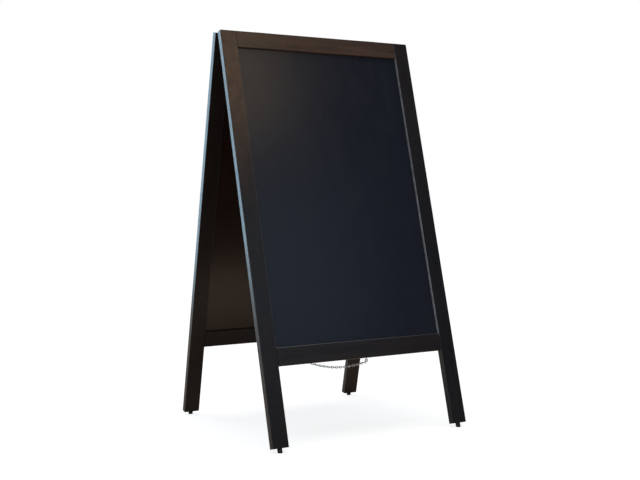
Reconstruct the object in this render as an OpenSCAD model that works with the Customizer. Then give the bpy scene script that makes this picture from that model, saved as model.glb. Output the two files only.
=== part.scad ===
// Sandwich board: two identical framed chalkboards hinged along their top
// edges, held open by a hanging chain between their bottom rails.
// Origin: on the floor, at the centre of the footprint. X runs along the
// width, the front board faces -Y and the rear board faces +Y.

/* [Frame] */
// Width of one framed board
panel_w = 690; // [560:5:760]
// Length of the stiles along the slope, without the feet
panel_l = 1265; // [1100:5:1400]
// Thickness of the frame
frame_t = 20; // [18:0.5:26]
// Lean of each board from the vertical when it stands open
lean = 13.9; // [9:0.1:20]
// Face width of the stiles
stile_w = 52.8; // [45:0.1:70]
// Face height of the top rail
top_rail_h = 52; // [48:0.5:80]
// Face height of the bottom rail
bottom_rail_h = 54; // [48:0.5:70]
// Length of the bare legs below the bottom rail
leg_l = 231.5; // [150:0.5:300]
// Chamfer along the long edges of the frame
arris = 1.4; // [0.6:0.1:2]

/* [Chalkboard] */
// Thickness of the writing board
board_t = 5; // [3:0.5:6]
// Depth of the groove that holds the board, round the inside of the frame
groove_d = 8; // [6:0.5:10]
// Gap between the board's edge and the bottom of its groove
board_gap = 1; // [0.5:0.1:2]

/* [Joinery] */
// Diameter of the dowels that join rails to stiles
dowel_d = 6; // [5:0.5:8]
// Length of each dowel
dowel_l = 40; // [30:1:50]

/* [Hinges] */
// Distance of each hinge from the middle
hinge_x = 200; // [150:5:230]
// Length of a hinge along its pin
hinge_l = 60; // [50:1:80]
// Gap between the two frames when they are folded flat
fold_gap = 12.6; // [11:0.1:16]
// Diameter of the hinge pin
pin_d = 4; // [3:0.1:4.2]
// Thickness of a hinge leaf
leaf_t = 1.5; // [1.2:0.1:1.6]

/* [Chain] */
// Distance of each screw eye from the middle of its rail
eye_x = 14; // [8:1:30]
// Number of links, an odd number
chain_links = 45; // [41:2:49]
// Length of the chain divided by its span
chain_slack = 1.019; // [1.005:0.001:1.06]
// Width of a link
link_w = 8; // [7:0.5:10]
// Diameter of the chain wire
wire_d = 2; // [1.6:0.1:2.4]

/* [Feet] */
// Diameter of a rubber foot
foot_d = 14.5; // [12:0.5:18]
// Height of a foot along the leg
foot_h = 12.5; // [9:0.5:18]

/* [Hidden] */
$fn = 48;

wood = "#2b2623";
slate = "#23262c";
zinc = "#b9bcc0";
black = "#151515";
beech = "#c9a877";

// Frame layout, measured down the slope from the top of the frame
bottom_rail_end = panel_l - leg_l;
bottom_rail_top = bottom_rail_end - bottom_rail_h;
inner_x = panel_w / 2 - stile_w;
leg_x = panel_w / 2 - stile_w / 2;

// Hinge knuckles and pin
knuckle_r = pin_d / 2 + leaf_t;
pin_up = knuckle_r + 0.1;
pin_out = fold_gap / 2;
knuckle_count = 5;
knuckle_l = hinge_l / knuckle_count;
knuckle_clear = 0.3;
pin_clear = 0.05;
pin_head_r = 3;
pin_head_t = 1.2;
leaf_reach = frame_t - 2.5;

// Place of a board: its top inner edge
top_y = pin_out * cos(lean) + pin_up * sin(lean);
top_z = (panel_l + foot_h) * cos(lean) - frame_t / 2 * sin(lean);

// Hinge screws: countersunk, 3 to a leaf
screw_r = 1.75;
screw_head_r = screw_r + leaf_t;
screw_l = 16;
screw_tip = 3;
tip_r = 0.3;
screw_pitch = 20;
screw_in = 9;
slot_w = 0.8;
slot_d = 0.7;

// The board sits in the middle of the frame's thickness
board_in = (frame_t - board_t) / 2;
groove_top = top_rail_h - groove_d;
groove_end = bottom_rail_top + groove_d;

// Dowels are clear of the groove
dowel_edge = 15;

// Foot screws
foot_screw_r = 2;
foot_screw_head_r = 3.6;
foot_screw_head_t = 2.4;
foot_screw_l = 28;
foot_counterbore = 5;
foot_wall = 0.15;

// Screw eyes
eye_wire_r = 1.2;
eye_ring_r = 4.2;
eye_neck = 3;
eye_thread_l = 18;
eye_drop = bottom_rail_end + eye_neck + 2 * eye_ring_r;

// Chain: links on an arc between the two screw eyes
link_clear = 0.3;
ring_r = 6;
ring_at = ring_r - eye_wire_r - wire_d / 2 - link_clear;
chain_start = ring_at + ring_r - (wire_d + link_clear) / 2;
eye_y = top_y + eye_drop * sin(lean) + frame_t / 2 * cos(lean);
eye_z = top_z - eye_drop * cos(lean) + frame_t / 2 * sin(lean);
half_span = sqrt(eye_y * eye_y + eye_x * eye_x);
half_chain = half_span * chain_slack;
link_pitch = 2 * (half_chain - chain_start) / chain_links;
link_l = link_pitch + 2 * wire_d + link_clear;
// Half angle of the arc, from the series of sin(a) / a
arc_half = sqrt(10 - sqrt(100 - 120 * (1 - 1 / chain_slack)));
arc_r = half_chain / arc_half;
arc_low_z = eye_z - arc_r * (1 - cos(arc_half * 180 / PI));
chain_turn = atan(eye_x / eye_y);
upper_links = 17;
middle_link = (chain_links + 1) / 2;
side_into_bend = 0.3;
side_step = 0.1;

// The profile of a stile stands on its length axis, outer edge at X = 0
module stile_profile() {
  polygon([
    [arris, 0], [stile_w - arris, 0], [stile_w, -arris], [stile_w, arris - frame_t],
    [stile_w - arris, -frame_t], [arris, -frame_t],
    [0, arris - frame_t], [0, -arris]
  ]);
}

// Everything on a board is drawn from its top inner edge: -Y is outwards
// and -Z runs down the slope.
module on_board(rear) {
  rotate([0, 0, rear ? 180 : 0])
    translate([0, -top_y, top_z])
      rotate([-lean, 0, 0])
        children();
}

module dowel_row(side) {
  for (down = [
    dowel_edge, top_rail_h - dowel_edge,
    bottom_rail_top + dowel_edge, bottom_rail_end - dowel_edge
  ])
    translate([side * inner_x, -frame_t / 2, -down])
      rotate([0, 90, 0])
        cylinder(h = dowel_l, d = dowel_d, center = true);
}

// The room that a board and its groove take, with the gap round it left out
module board_room(gap) {
  half_w = inner_x + groove_d - gap;
  translate([-half_w, -board_in - board_t, gap - groove_end])
    cube([2 * half_w, board_t, groove_end - groove_top - 2 * gap]);
}

// A foot's screw, from the seat of its head upwards
module foot_screw() {
  rotate([180, 0, 0])
    cylinder(h = foot_screw_head_t, r = foot_screw_head_r);
  cylinder(h = foot_screw_l - screw_tip, r = foot_screw_r);
  translate([0, 0, foot_screw_l - screw_tip])
    cylinder(h = screw_tip, r1 = foot_screw_r, r2 = tip_r);
}

module at_foot(side) {
  translate([side * leg_x, -frame_t / 2, -panel_l - foot_h])
    children();
}

module hinge_screw() {
  rotate([180, 0, 0]) {
    cylinder(h = leaf_t, r1 = screw_head_r, r2 = screw_r);
    translate([0, 0, leaf_t])
      cylinder(h = screw_l - leaf_t - screw_tip, r = screw_r);
    translate([0, 0, screw_l - screw_tip])
      cylinder(h = screw_tip, r1 = screw_r, r2 = tip_r);
  }
}

module at_hinge_screws(x) {
  for (i = [-1, 0, 1])
    translate([x + i * screw_pitch, -screw_in, leaf_t])
      children();
}

// Neck and thread, then the ring below them
module eye_screw() {
  translate([eye_x, -frame_t / 2, -bottom_rail_end]) {
    translate([0, 0, -eye_neck])
      cylinder(h = eye_neck + eye_thread_l - screw_tip, r = eye_wire_r);
    translate([0, 0, eye_thread_l - screw_tip])
      cylinder(h = screw_tip, r1 = eye_wire_r, r2 = tip_r);
    translate([0, 0, -eye_neck - eye_ring_r])
      rotate([90, 0, 0])
        rotate_extrude()
          translate([eye_ring_r, 0])
            circle(r = eye_wire_r);
  }
}

// A top rail keeps square top edges, under the hinge leaves
module rail(from, to) {
  top_arris = from > 0 ? arris : 0;
  translate([-inner_x, 0, 0])
    rotate([0, 90, 0])
      linear_extrude(2 * inner_x)
        polygon([
          [from + top_arris, 0], [from, -top_arris], [from, top_arris - frame_t], [from + top_arris, -frame_t],
          [to - arris, -frame_t], [to, arris - frame_t], [to, -arris], [to - arris, 0]
        ]);
}

// In the modules below, side is -1 or 1 as seen on the board itself
module stile(rear, side) {
  color(wood)
    on_board(rear)
      difference() {
        translate([side * panel_w / 2, 0, 0])
          mirror([side > 0 ? 1 : 0, 0, 0])
            translate([0, 0, -panel_l])
              linear_extrude(panel_l)
                stile_profile();
        dowel_row(side);
        board_room(0);
        at_foot(side)
          translate([0, 0, foot_counterbore])
            foot_screw();
      }
}

module top_rail(rear) {
  color(wood)
    on_board(rear)
      difference() {
        rail(0, top_rail_h);
        dowel_row(-1);
        dowel_row(1);
        board_room(0);
        for (side = [-1, 1])
          at_hinge_screws(side * hinge_x)
            hinge_screw();
      }
}

module bottom_rail(rear) {
  color(wood)
    on_board(rear)
      difference() {
        rail(bottom_rail_top, bottom_rail_end);
        dowel_row(-1);
        dowel_row(1);
        board_room(0);
        eye_screw();
      }
}

module dowels(rear) {
  color(beech)
    on_board(rear) {
      dowel_row(-1);
      dowel_row(1);
    }
}

module chalkboard(rear) {
  color(slate)
    on_board(rear)
      board_room(board_gap);
}

// A foot follows the slope of its leg and is cut off level at the floor
module foot(rear, side) {
  color(black)
    difference() {
      on_board(rear)
        at_foot(side)
          difference() {
            translate([0, 0, -foot_h / 2])
              cylinder(h = 1.5 * foot_h, d = foot_d);
            translate([0, 0, foot_counterbore])
              foot_screw();
            translate([0, 0, -foot_h])
              cylinder(h = foot_h + foot_counterbore, r = foot_screw_head_r + foot_wall);
          }
      translate([-panel_w, -panel_l, -foot_h])
        cube([2 * panel_w, 2 * panel_l, foot_h]);
    }
}

module foot_screws(rear) {
  color(zinc)
    on_board(rear)
      for (side = [-1, 1])
        at_foot(side)
          translate([0, 0, foot_counterbore])
            difference() {
              foot_screw();
              translate([0, 0, -foot_screw_head_t])
                cube([slot_w, 3 * foot_screw_head_r, 2 * slot_d], center = true);
            }
}

// A front leaf has the outer and middle knuckles, a rear leaf the two between
module hinge_leaf(rear, side) {
  first = rear ? 1 : 0;
  color(zinc)
    on_board(rear)
      translate([side * hinge_x, 0, 0])
        difference() {
          union() {
            translate([-hinge_l / 2, -leaf_reach, 0])
              cube([hinge_l, leaf_reach + pin_out - knuckle_r - knuckle_clear, leaf_t]);
            for (i = [first : 2 : knuckle_count - 1])
              translate([-hinge_l / 2 + i * knuckle_l + knuckle_clear / 2, 0, 0]) {
                cube([knuckle_l - knuckle_clear, pin_out, leaf_t]);
                translate([0, pin_out, pin_up])
                  rotate([0, 90, 0])
                    cylinder(h = knuckle_l - knuckle_clear, r = knuckle_r);
              }
          }
          translate([-hinge_l, pin_out, pin_up])
            rotate([0, 90, 0])
              cylinder(h = 2 * hinge_l, r = pin_d / 2 + pin_clear);
          at_hinge_screws(0)
            hinge_screw();
        }
}

module hinge_screws(rear) {
  color(zinc)
    on_board(rear)
      for (side = [-1, 1])
        at_hinge_screws(side * hinge_x)
          difference() {
            hinge_screw();
            cube([slot_w, 3 * screw_head_r, 2 * slot_d], center = true);
          }
}

module screw_eye(rear) {
  color(black)
    on_board(rear)
      eye_screw();
}

// The pin has a small head at each end, just outside the knuckles
module hinge_pin(side) {
  shank_l = hinge_l - knuckle_clear;
  color(zinc)
    on_board(false)
      translate([side * hinge_x, pin_out, pin_up])
        rotate([0, 90, 0]) {
          cylinder(h = shank_l, d = pin_d, center = true);
          for (end = [-1, 1])
            translate([0, 0, end * (shank_l + pin_head_t) / 2])
              cylinder(h = pin_head_t, r = pin_head_r, center = true);
        }
}

// Places its child on the chain's arc, with +Y along the chain
module on_chain(along) {
  rotate([0, 0, chain_turn])
    translate([0, 0, arc_low_z + arc_r])
      rotate([(along - half_chain) / arc_r * 180 / PI, 0, 0])
        translate([0, 0, -arc_r])
          children();
}

module split_ring(along) {
  color(zinc)
    on_chain(along)
      rotate([0, 90, 0])
        rotate_extrude()
          translate([ring_r, 0])
            circle(d = wire_d);
}

// A link's straight sides are a hair thicker than its bends and end inside them
module link() {
  bend_r = (link_w - wire_d) / 2;
  straight = link_l - link_w;
  for (turn = [0, 180])
    rotate([0, 0, turn]) {
      translate([0, straight / 2, 0])
        rotate_extrude(angle = 180)
          translate([bend_r, 0])
            circle(d = wire_d);
      translate([bend_r, 0, 0])
        rotate([90, 0, 0])
          cylinder(h = straight + 2 * side_into_bend, d = wire_d + side_step, center = true);
    }
}

// Links are numbered from the front; odd ones lie flat, even ones stand
module chain_run(first, last) {
  color(zinc)
    for (i = [first : last])
      on_chain(chain_start + (i - 0.5) * link_pitch)
        rotate([0, i % 2 == 1 ? 0 : 90, 0])
          link();
}

stile(false, -1);  // front_left_stile
stile(false, 1);  // front_right_stile
top_rail(false);  // front_top_rail
bottom_rail(false);  // front_bottom_rail
dowels(false);  // front_dowels
chalkboard(false);  // front_chalkboard
foot(false, -1);  // front_left_foot
foot(false, 1);  // front_right_foot
foot_screws(false);  // front_foot_screws
hinge_leaf(false, -1);  // front_hinge_leaf_left
hinge_leaf(false, 1);  // front_hinge_leaf_right
hinge_screws(false);  // front_hinge_screws
screw_eye(false);  // front_screw_eye
hinge_pin(-1);  // hinge_pin_left
hinge_pin(1);  // hinge_pin_right
// The rear board is turned half round, so its side 1 is the left of the whole
stile(true, 1);  // rear_left_stile
stile(true, -1);  // rear_right_stile
top_rail(true);  // rear_top_rail
bottom_rail(true);  // rear_bottom_rail
dowels(true);  // rear_dowels
chalkboard(true);  // rear_chalkboard
foot(true, 1);  // rear_left_foot
foot(true, -1);  // rear_right_foot
foot_screws(true);  // rear_foot_screws
hinge_leaf(true, 1);  // rear_hinge_leaf_left
hinge_leaf(true, -1);  // rear_hinge_leaf_right
hinge_screws(true);  // rear_hinge_screws
screw_eye(true);  // rear_screw_eye
split_ring(ring_at);  // front_split_ring
chain_run(1, upper_links);  // front_chain_upper
chain_run(upper_links + 1, middle_link);  // front_chain_lower
chain_run(middle_link + 1, chain_links - upper_links);  // rear_chain_lower
chain_run(chain_links - upper_links + 1, chain_links);  // rear_chain_upper
split_ring(2 * half_chain - ring_at);  // rear_split_ring
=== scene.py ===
"""Folding pavement chalkboard: materials, fine detail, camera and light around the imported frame."""
import math

import bpy
import numpy as np
from mathutils import Matrix, Vector


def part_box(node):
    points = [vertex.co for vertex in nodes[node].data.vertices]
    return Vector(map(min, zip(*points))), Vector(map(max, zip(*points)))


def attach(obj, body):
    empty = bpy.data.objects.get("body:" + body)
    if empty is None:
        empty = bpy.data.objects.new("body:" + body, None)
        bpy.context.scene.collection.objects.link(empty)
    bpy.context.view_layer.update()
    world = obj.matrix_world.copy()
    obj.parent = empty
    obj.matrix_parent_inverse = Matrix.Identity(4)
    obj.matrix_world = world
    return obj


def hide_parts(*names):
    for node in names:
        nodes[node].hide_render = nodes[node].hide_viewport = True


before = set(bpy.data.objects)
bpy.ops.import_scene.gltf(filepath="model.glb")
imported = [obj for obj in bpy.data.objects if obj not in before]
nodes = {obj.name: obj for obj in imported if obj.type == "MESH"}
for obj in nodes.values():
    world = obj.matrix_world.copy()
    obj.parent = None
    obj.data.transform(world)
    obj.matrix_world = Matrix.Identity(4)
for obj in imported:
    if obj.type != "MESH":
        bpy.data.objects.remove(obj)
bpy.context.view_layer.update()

# The boards lean 13.9 degrees each way from the vertical
LEAN = math.radians(13.9)
# Height of the lower edge of the writing boards
BOARD_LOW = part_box("front_chalkboard")[0][2]
# Where the rails end, and the height of the lowest joint
JOINT_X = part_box("front_top_rail")[1][0]
RAIL_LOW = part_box("front_bottom_rail")[0][2]
# Half the width of a joint's dark line at its darkest, and where it has faded out
HAIRLINE_DARK = 0.0004
HAIRLINE_END = 0.0016
# Heights between which the painted warm light near the top comes in
PAINTED_LIGHT_FROM = 0.80
PAINTED_LIGHT_FULL = 1.32


# ---------------------------------------------------------------- camera

def add_camera():
    """The product-shot camera: low, a little to the left, and rolled slightly."""
    azimuth = math.radians(-28.438)
    elevation = math.radians(2.267)
    roll = math.radians(-0.859)
    distance = 3.166
    target = Vector((-0.1212, 0.0, 0.5603))
    sensor_width = 36.0
    focal_length = 55.59
    back = Vector((
        math.sin(azimuth) * math.cos(elevation),
        -math.cos(azimuth) * math.cos(elevation),
        math.sin(elevation),
    ))
    level_right = Vector((math.cos(azimuth), math.sin(azimuth), 0.0))
    level_up = back.cross(level_right)
    right = level_right * math.cos(roll) + level_up * math.sin(roll)
    up = back.cross(right)
    data = bpy.data.cameras.new("camera")
    data.sensor_width = sensor_width
    data.lens = focal_length
    data.shift_x = 0.0563
    data.shift_y = 0.0167
    camera = bpy.data.objects.new("camera", data)
    matrix = Matrix((right, up, back)).transposed().to_4x4()
    matrix.translation = target + back * distance
    camera.matrix_world = matrix
    bpy.context.scene.collection.objects.link(camera)
    bpy.context.scene.camera = camera


# ---------------------------------------------------------------- shader helpers

class Shader:
    """A new material with short calls for its nodes."""

    def __init__(self, name):
        self.material = bpy.data.materials.new(name)
        self.material.use_nodes = True
        self.tree = self.material.node_tree
        self.bsdf = self.tree.nodes["Principled BSDF"]

    def node(self, kind, **settings):
        made = self.tree.nodes.new("ShaderNode" + kind)
        for key, value in settings.items():
            setattr(made, key, value)
        return made

    def link(self, source, target):
        self.tree.links.new(source, target)

    def feed(self, target, value):
        """Sets a socket to a number or a colour, or links it."""
        if isinstance(value, bpy.types.NodeSocket):
            self.link(value, target)
        else:
            target.default_value = value

    def place(self, rotation=(0, 0, 0), scale=(1, 1, 1), offset=(0, 0, 0)):
        """Object coordinates in metres, turned and then scaled."""
        coords = self.node("TexCoord").outputs["Object"]
        turn = self.node("VectorRotate", rotation_type="EULER_XYZ")
        self.link(coords, turn.inputs["Vector"])
        turn.inputs["Rotation"].default_value = rotation
        mapping = self.node("Mapping")
        self.link(turn.outputs["Vector"], mapping.inputs["Vector"])
        mapping.inputs["Scale"].default_value = scale
        mapping.inputs["Location"].default_value = offset
        return mapping.outputs["Vector"]

    def parts_of(self, vector):
        """The X, Y and Z of a vector, by name."""
        split = self.node("SeparateXYZ")
        self.link(vector, split.inputs["Vector"])
        return split.outputs

    def position(self):
        """Where the surface is, in metres, in the frame's own axes."""
        return self.parts_of(self.node("TexCoord").outputs["Object"])

    def joint_shade(self):
        """A dark hairline where the ends of the rails meet the stiles, from 0 to 1."""
        place = self.position()
        from_middle = self.math("ABSOLUTE", place["X"])
        off_joint = self.math("ABSOLUTE", self.math("SUBTRACT", from_middle, JOINT_X))
        beside_rail = self.remap(place["Z"], RAIL_LOW, RAIL_LOW + 0.001, 0.0, 1.0)
        hairline = self.remap(off_joint, HAIRLINE_DARK, HAIRLINE_END, 0.85, 0.0)
        return self.math("MULTIPLY", hairline, beside_rail)

    def lip_dust_and_highlight(self):
        """How much chalk dust and painted highlight lies on the side walls of the opening, from 0 to 1: a
        light grey that paints these walls as lit.

        A surface faces the middle of the sign where its normal's X and its own X have opposite signs.
        """
        place = self.position()
        facing = self.parts_of(self.node("NewGeometry").outputs["True Normal"])
        outward = self.math("MULTIPLY", facing["X"], place["X"])
        inward = self.remap(outward, -0.10, -0.26, 0.0, 1.0)
        beside_board = self.remap(place["Z"], BOARD_LOW, BOARD_LOW + 0.01, 0.0, 1.0)
        streaks = self.remap(self.noise(self.place(), 60.0, detail=4.0), 0.3, 0.6, 0.5, 1.0)
        return self.math("MULTIPLY", self.math("MULTIPLY", inward, beside_board), streaks)

    def facing_inside(self):
        """1 on the sides of the boards that face each other, 0 on their outer sides."""
        facing = self.parts_of(self.node("NewGeometry").outputs["True Normal"])
        outward = self.math("MULTIPLY", facing["Y"], self.position()["Y"])
        return self.remap(outward, 0.0, -0.001, 0.0, 1.0)

    def noise(self, vector, scale, detail=3.0, roughness=0.5, distortion=0.0):
        made = self.node("TexNoise")
        self.link(vector, made.inputs["Vector"])
        made.inputs["Scale"].default_value = scale
        made.inputs["Detail"].default_value = detail
        made.inputs["Roughness"].default_value = roughness
        made.inputs["Distortion"].default_value = distortion
        return made.outputs["Fac"]

    def remap(self, value, low, high, out_low, out_high):
        made = self.node("MapRange", clamp=True)
        self.feed(made.inputs["Value"], value)
        made.inputs["From Min"].default_value = low
        made.inputs["From Max"].default_value = high
        made.inputs["To Min"].default_value = out_low
        made.inputs["To Max"].default_value = out_high
        return made.outputs["Result"]

    def math(self, operation, first, second=0.0):
        made = self.node("Math", operation=operation)
        self.feed(made.inputs[0], first)
        self.feed(made.inputs[1], second)
        return made.outputs[0]

    def mix(self, factor, first, second):
        made = self.node("Mix", data_type="RGBA")
        self.feed(made.inputs["Factor"], factor)
        self.feed(made.inputs["A"], first)
        self.feed(made.inputs["B"], second)
        return made.outputs["Result"]

    def bump(self, height, strength, distance):
        made = self.node("Bump")
        made.inputs["Strength"].default_value = strength
        made.inputs["Distance"].default_value = distance
        self.link(height, made.inputs["Height"])
        return made.outputs["Normal"]

    def surface(self, **values):
        """Sets the sockets of the Principled shader, with _ for each space in a socket's name."""
        for name, value in values.items():
            self.feed(self.bsdf.inputs[name.replace("_", " ")], value)


def rgba(red, green, blue):
    return (red, green, blue, 1.0)


# ---------------------------------------------------------------- materials

def stained_wood(name, rotation, along, seed, warmth, painted_light_top=0.0):
    """Black-stained wood under satin varnish.

    `rotation` undoes the lean of the board and `along` is then the axis of the grain. `warmth` is how much
    brown shows in the piece, partly through the stain and partly as painted warm light and sheen, and
    `painted_light_top` is how much more shows near the top of the sign, as painted warm light.
    """
    wood = Shader(name)
    stretch = {"X": (1.0, 16.0, 16.0), "Z": (16.0, 16.0, 1.0)}[along]
    across = wood.place(rotation, stretch, (seed, 2.0 * seed, 3.0 * seed))
    fibres = wood.noise(across, 42.0, detail=6.0, roughness=0.62)
    pores = wood.noise(across, 95.0, detail=3.0, roughness=0.5)
    bands = wood.noise(across, 4.0, detail=3.0, roughness=0.5, distortion=0.6)
    patches = wood.noise(wood.place(rotation, (1, 1, 1), (seed, 0, 0)), 5.0, detail=2.0)
    pits = wood.remap(pores, 0.60, 0.72, 0.0, 1.0)
    ragged_height = wood.math("ADD", wood.position()["Z"], wood.math("MULTIPLY", patches, 0.2))
    # Brown from the stain and from painted light: the painted warm light rises towards the top of the sign
    brown = wood.remap(ragged_height, PAINTED_LIGHT_FROM, PAINTED_LIGHT_FULL, warmth, warmth + painted_light_top)
    dark = wood.mix(brown, rgba(0.0040, 0.0039, 0.0042), rgba(0.034, 0.0185, 0.0115))
    light = wood.mix(brown, rgba(0.0095, 0.0082, 0.0078), rgba(0.092, 0.050, 0.030))
    tone = wood.mix(wood.remap(bands, 0.35, 0.65, 0.0, 0.7), dark, light)
    tone = wood.mix(wood.remap(fibres, 0.35, 0.70, 0.0, 0.5), tone, light)
    tone = wood.mix(wood.math("MULTIPLY", pits, 0.7), tone, rgba(0.002, 0.0018, 0.0018))
    tone = wood.mix(wood.joint_shade(), tone, rgba(0.0015, 0.0014, 0.0014))
    # Light grey on the side walls of the opening: partly chalk dust, partly a painted highlight that makes
    # these walls look lit
    tone = wood.mix(wood.lip_dust_and_highlight(), tone, rgba(0.19, 0.20, 0.22))
    rough = wood.math("ADD", wood.remap(patches, 0.3, 0.7, 0.28, 0.36), wood.math("MULTIPLY", pits, 0.2))
    relief = wood.math("SUBTRACT", wood.math("MULTIPLY", fibres, 0.35), pits)
    wood.surface(
        Base_Color=tone,
        Roughness=rough,
        Specular_IOR_Level=0.38,
        Normal=wood.bump(relief, 0.35, 0.0003),
    )
    return wood.material


def blackboard_paint():
    """Semi-matt blackboard paint with faint wipe marks, on a board with a glossier dark brown back."""
    paint = Shader("blackboard_paint")
    plain = paint.place()
    wiped = paint.place((LEAN, 0.1, 0), (7.0, 7.0, 2.5))
    stipple = paint.noise(plain, 900.0, detail=2.0)
    rolls = paint.noise(paint.place((LEAN, 0, 0), (30.0, 30.0, 1.5)), 1.2, detail=2.0)
    haze = paint.noise(wiped, 3.0, detail=5.0, roughness=0.6, distortion=0.8)
    dust = paint.remap(haze, 0.42, 0.78, 0.0, 0.2)
    tone = paint.mix(rolls, rgba(0.0044, 0.0056, 0.0108), rgba(0.0060, 0.0073, 0.0132))
    wiped_tone = paint.mix(dust, tone, rgba(0.014, 0.015, 0.019))
    backing = paint.mix(haze, rgba(0.008, 0.0026, 0.0010), rgba(0.013, 0.0046, 0.0020))
    inside = paint.facing_inside()
    paint.surface(
        Base_Color=paint.mix(inside, wiped_tone, backing),
        Roughness=paint.remap(haze, 0.3, 0.75, 0.29, 0.34),
        Specular_IOR_Level=paint.remap(inside, 0.0, 1.0, 0.42, 0.71),
        Normal=paint.bump(stipple, 0.08, 0.0002),
    )
    return paint.material


def steel(name, tint, roughness, stretch=(1, 1, 1)):
    """Zinc-plated steel with faint drawing marks and dull patches."""
    metal = Shader(name)
    marks = metal.noise(metal.place((0, 0, 0), stretch), 900.0, detail=3.0)
    patches = metal.noise(metal.place(), 120.0, detail=4.0, roughness=0.6)
    low = tuple(channel * 0.78 for channel in tint)
    metal.surface(
        Base_Color=metal.mix(metal.remap(patches, 0.35, 0.7, 0.0, 1.0), rgba(*tint), rgba(*low)),
        Metallic=1.0,
        Roughness=metal.remap(patches, 0.3, 0.7, roughness * 0.8, roughness * 1.35),
        Normal=metal.bump(marks, 0.12, 0.0001),
    )
    return metal.material


def black_enamel():
    """Black japanned wire."""
    enamel = Shader("black_enamel")
    runs = enamel.noise(enamel.place(), 350.0, detail=3.0)
    enamel.surface(
        Base_Color=enamel.mix(runs, rgba(0.006, 0.006, 0.007), rgba(0.016, 0.015, 0.014)),
        Roughness=enamel.remap(runs, 0.3, 0.7, 0.24, 0.36),
        Coat_Weight=0.4,
        Coat_Roughness=0.12,
        Normal=enamel.bump(runs, 0.15, 0.0002),
    )
    return enamel.material


def foot_rubber():
    """Moulded black rubber, matt, with fine grain and a little dust low down."""
    rubber = Shader("foot_rubber")
    grain = rubber.noise(rubber.place(), 1400.0, detail=2.0)
    scuffs = rubber.noise(rubber.place((0, 0, 0), (1, 1, 3)), 160.0, detail=4.0, roughness=0.65)
    dusty = rubber.remap(scuffs, 0.5, 0.75, 0.0, 0.5)
    rubber.surface(
        Base_Color=rubber.mix(dusty, rgba(0.010, 0.010, 0.010), rgba(0.035, 0.034, 0.032)),
        Roughness=rubber.remap(scuffs, 0.3, 0.7, 0.62, 0.78),
        Normal=rubber.bump(grain, 0.20, 0.0002),
    )
    return rubber.material


def raw_beech(name):
    """Plain turned beech."""
    beech = Shader(name)
    flecks = beech.noise(beech.place((0, 0, 0), (1, 12, 12)), 90.0, detail=4.0)
    beech.surface(
        Base_Color=beech.mix(flecks, rgba(0.42, 0.26, 0.14), rgba(0.58, 0.40, 0.24)),
        Roughness=beech.remap(flecks, 0.3, 0.7, 0.55, 0.7),
        Normal=beech.bump(flecks, 0.2, 0.0002),
    )
    return beech.material


# ---------------------------------------------------------------- dressing the CAD nodes

def dress(node, material):
    """Gives a CAD node one material."""
    slots = nodes[node].data.materials
    slots.clear()
    slots.append(material)


# Points closer than this are one point, and an edge that bends by less than this stays as it is
SAME_POINT = 0.000002
SHARP_BEND = math.radians(28)


def soften(node, width, segments=2):
    """Rounds a CAD node's edges with modifiers, leaving its mesh as it is."""
    piece = nodes[node]
    weld = piece.modifiers.new("weld", "WELD")
    weld.merge_threshold = SAME_POINT
    bevel = piece.modifiers.new("soft_edges", "BEVEL")
    bevel.width = width
    bevel.segments = segments
    bevel.limit_method = "ANGLE"
    bevel.angle_limit = SHARP_BEND
    bevel.harden_normals = True


# Widths of the rounded edges
WOOD_EDGE = 0.00035
RUBBER_EDGE = 0.0007
PIN_EDGE = 0.0003
# How far apart the grain patterns of two pieces of wood are
SEED_STEP = 1.7

# How much brown shows in each piece of wood, partly the stain and partly painted warm light and sheen, and
# how much more at its top, which is painted warm light
WARMTH_AND_PAINTED_LIGHT = {
    "front_left_stile": (0.03, 0.80),
    "front_right_stile": (0.0, 0.08),
    "front_top_rail": (0.70, 0.0),
    "front_bottom_rail": (0.08, 0.0),
    "rear_left_stile": (0.10, 0.0),
    "rear_right_stile": (0.20, 0.2),
    "rear_top_rail": (0.35, 0.0),
    "rear_bottom_rail": (0.12, 0.0),
}


def dress_boards():
    """Wood, paint, rubber, dowels and screws of both boards."""
    paint = blackboard_paint()
    beech = raw_beech("beech_dowel")
    plate = steel("zinc_plate", (0.30, 0.31, 0.33), 0.46, stretch=(1, 12, 12))
    screw = steel("zinc_screw", (0.50, 0.50, 0.51), 0.26)
    rubber = foot_rubber()
    seed = 1.0
    for board, turn in (("front", -LEAN), ("rear", LEAN)):
        for side in ("left", "right"):
            stile = f"{board}_{side}_stile"
            dress(stile, stained_wood(f"{stile}_wood", (turn, 0, 0), "Z", seed, *WARMTH_AND_PAINTED_LIGHT[stile]))
            soften(stile, WOOD_EDGE)
            foot = f"{board}_{side}_foot"
            dress(foot, rubber)
            soften(foot, RUBBER_EDGE, 3)
            dress(f"{board}_hinge_leaf_{side}", plate)
            seed += SEED_STEP
        for rail in ("top", "bottom"):
            node = f"{board}_{rail}_rail"
            dress(node, stained_wood(f"{node}_wood", (turn, 0, 0), "X", seed, *WARMTH_AND_PAINTED_LIGHT[node]))
            soften(node, WOOD_EDGE)
            seed += SEED_STEP
        dress(f"{board}_chalkboard", paint)
        dress(f"{board}_dowels", beech)
        dress(f"{board}_foot_screws", screw)
        dress(f"{board}_hinge_screws", screw)


def dress_hardware():
    """The chain with its rings and eyes, and the hinge pins."""
    chain = steel("chain_zinc", (0.66, 0.67, 0.69), 0.26)
    pin = steel("pin_steel", (0.50, 0.50, 0.51), 0.30)
    eye = black_enamel()
    for board in ("front", "rear"):
        for node in (f"{board}_chain_upper", f"{board}_chain_lower"):
            dress(node, chain)
        add_split_ring(board, chain)
        dress(f"{board}_screw_eye", eye)
    for side in ("left", "right"):
        dress(f"hinge_pin_{side}", pin)
        soften(f"hinge_pin_{side}", PIN_EDGE)


def ring_axes(node):
    """Centre of a CAD ring, two directions across it and the direction through it."""
    points = np.array([vertex.co for vertex in nodes[node].data.vertices])
    low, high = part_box(node)
    directions = np.linalg.svd(points - points.mean(axis=0), full_matrices=False)[2]
    across, up, through = (Vector(direction) for direction in directions)
    return (low + high) / 2, across, up, through


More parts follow.
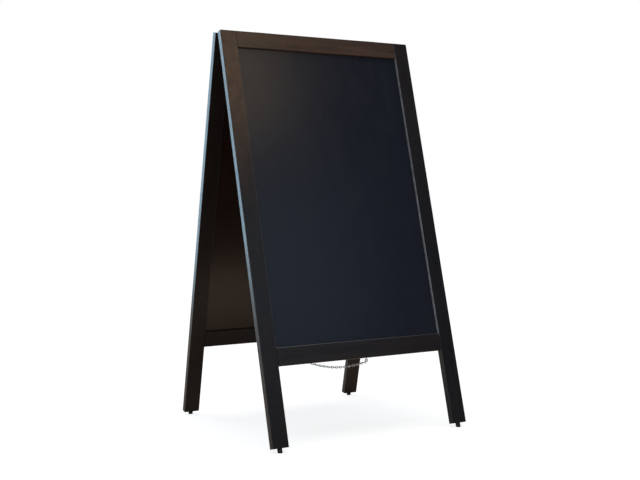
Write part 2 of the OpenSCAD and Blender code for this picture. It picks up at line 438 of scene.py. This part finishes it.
def wire(name, points, radius, material):
    """A bent wire with closed ends."""
    data = bpy.data.curves.new(name, "CURVE")
    data.dimensions = "3D"
    data.bevel_depth = radius
    data.bevel_resolution = 4
    data.use_fill_caps = True
    line = data.splines.new("POLY")
    line.points.add(len(points) - 1)
    for knot, point in zip(line.points, points):
        knot.co = (*point, 1.0)
    data.materials.append(material)
    piece = bpy.data.objects.new(name, data)
    bpy.context.scene.collection.objects.link(piece)
    return piece


def add_split_ring(board, material):
    """A split ring: just under two turns of wire, one beside the other and nearly touching."""
    node = f"{board}_split_ring"
    centre, across, up, through = ring_axes(node)
    radius = 0.006
    wire_radius = 0.00048
    turns = 1.96
    steps = 96
    points = []
    lift = 1.02 * 2 * wire_radius
    for step in range(steps + 1):
        angle = 2 * math.pi * turns * step / steps
        rise = (step / steps - 0.5) * lift
        flat = across * math.cos(angle) + up * math.sin(angle)
        points.append(centre + flat * radius + through * rise)
    ring = wire(f"{board}_key_ring_coil", points, wire_radius, material)
    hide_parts(node)
    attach(ring, f"{board}_chain")


# ---------------------------------------------------------------- studio

def add_floor():
    """White paper, seen bright by the camera, with a dim warm bounce on the sign."""
    floor = Shader("floor_paper")
    grain = floor.noise(floor.place(), 60.0, detail=4.0)
    paper = floor.mix(grain, rgba(0.15, 0.15, 0.15), rgba(0.17, 0.17, 0.17))
    floor.surface(
        Base_Color=paper,
        Roughness=0.9,
        Specular_IOR_Level=0.0,
        Emission_Color=rgba(1.0, 1.0, 1.0),
        Emission_Strength=0.84,
    )
    bounce = floor.node("BsdfDiffuse")
    bounce.inputs["Color"].default_value = rgba(0.38, 0.29, 0.22)
    seen = floor.node("MixShader")
    floor.link(floor.node("LightPath").outputs["Is Camera Ray"], seen.inputs[0])
    floor.link(bounce.outputs[0], seen.inputs[1])
    floor.link(floor.bsdf.outputs[0], seen.inputs[2])
    floor.link(seen.outputs[0], floor.tree.nodes["Material Output"].inputs["Surface"])
    floor.material.cycles.emission_sampling = "NONE"
    half = 40.0
    corners = [(-half, -half, 0), (half, -half, 0), (half, half, 0), (-half, half, 0)]
    mesh = bpy.data.meshes.new("floor")
    mesh.from_pydata(corners, [], [(0, 1, 2, 3)])
    mesh.materials.append(floor.material)
    plane = bpy.data.objects.new("floor", mesh)
    bpy.context.scene.collection.objects.link(plane)


def add_light(data, place, look_at, power, colour):
    """Hangs a light at a place, aimed at a point, out of the camera's sight."""
    data.energy = power
    data.color = colour
    light = bpy.data.objects.new(data.name, data)
    light.location = place
    aim = Vector(look_at) - Vector(place)
    light.rotation_euler = aim.to_track_quat("-Z", "Y").to_euler()
    light.visible_camera = False
    bpy.context.scene.collection.objects.link(light)


def sun(name, angle):
    data = bpy.data.lights.new(name, "SUN")
    data.angle = angle
    return data


def panel(name, width, height):
    data = bpy.data.lights.new(name, "AREA")
    data.shape = "RECTANGLE"
    data.size = width
    data.size_y = height
    return data


def add_world():
    """A white backdrop in a dim studio, so that black stays black."""
    world = bpy.data.worlds.new("studio")
    bpy.context.scene.world = world
    world.use_nodes = True
    tree = world.node_tree
    tree.nodes.clear()
    output = tree.nodes.new("ShaderNodeOutputWorld")
    mix = tree.nodes.new("ShaderNodeMixShader")
    path = tree.nodes.new("ShaderNodeLightPath")
    white = tree.nodes.new("ShaderNodeBackground")
    white.inputs["Color"].default_value = rgba(1.0, 1.0, 1.0)
    white.inputs["Strength"].default_value = 1.0
    dusk = tree.nodes.new("ShaderNodeBackground")
    dusk.inputs["Color"].default_value = rgba(0.45, 0.62, 1.0)
    dusk.inputs["Strength"].default_value = 0.14
    tree.links.new(path.outputs["Is Camera Ray"], mix.inputs[0])
    tree.links.new(dusk.outputs[0], mix.inputs[1])
    tree.links.new(white.outputs[0], mix.inputs[2])
    tree.links.new(mix.outputs[0], output.inputs["Surface"])


def add_lights():
    """One broad soft sun, a cool window for the left edges and three small lamps in front."""
    white = (1.0, 1.0, 1.0)
    sky = (0.53, 0.80, 1.0)
    cool = (0.66, 0.82, 1.0)
    pale = (0.80, 0.90, 1.0)
    amber = (1.0, 0.76, 0.46)
    add_light(sun("overhead", math.radians(60)), (0, 0, 5), (0, 0, 0), 4.2, white)
    add_light(panel("window_left", 1.6, 2.2), (-1.8, 2.9, 1.3), (-0.345, 0, 0.8), 58, sky)
    add_light(panel("cool_lamp", 0.9, 1.1), (0.75, -2.1, 1.3), (-0.3, 0, 0.6), 1.8, cool)
    add_light(panel("edge_lamp", 0.8, 1.4), (-2.2, -1.5, 1.2), (0, 0, 0.7), 17.0, pale)
    add_light(panel("warm_lamp", 0.4, 0.5), (0.35, -1.25, 1.95), (-0.3, 0, 1.1), 1.6, amber)


add_camera()
dress_boards()
dress_hardware()
add_floor()
add_world()
add_lights()
bpy.context.scene.view_settings.view_transform = "Standard"
